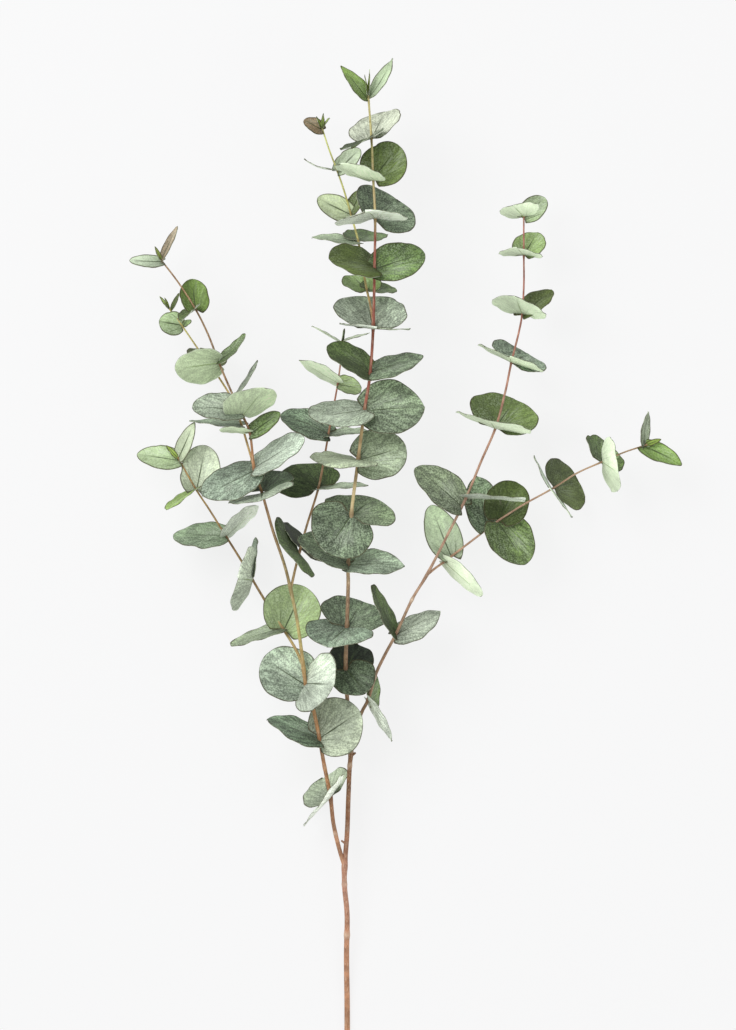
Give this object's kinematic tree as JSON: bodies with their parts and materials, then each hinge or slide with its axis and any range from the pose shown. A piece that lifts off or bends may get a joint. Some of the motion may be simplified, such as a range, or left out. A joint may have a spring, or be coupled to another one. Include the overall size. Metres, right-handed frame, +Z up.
{
  "type": "eucalyptus branch",
  "caption": "Cut branch of round-leaved eucalyptus: a forked woody stem with side shoots that carry pairs of broad stalkless leaves, lying flat.",
  "frame": {"origin": "below the middle of the branch's box, on the surface that it lies on", "axes": "+Y from the cut foot of the stem to its top, +Z up from the surface, +X to the right seen from above"},
  "size_m": [0.4424, 0.7934, 0.1109],
  "materials": {
    "foliage": "matte grey-green leaves with a waxy bloom, on brown bark"
  },
  "bodies": {
    "root": {"main_stem": "foliage", "left_stem": "foliage", "outer_left_shoot": "foliage", "twin_left_shoot": "foliage", "inner_left_shoot": "foliage", "back_top_shoot": "foliage", "right_stem": "foliage", "right_side_shoot": "foliage"}
  },
  "joints": []
}
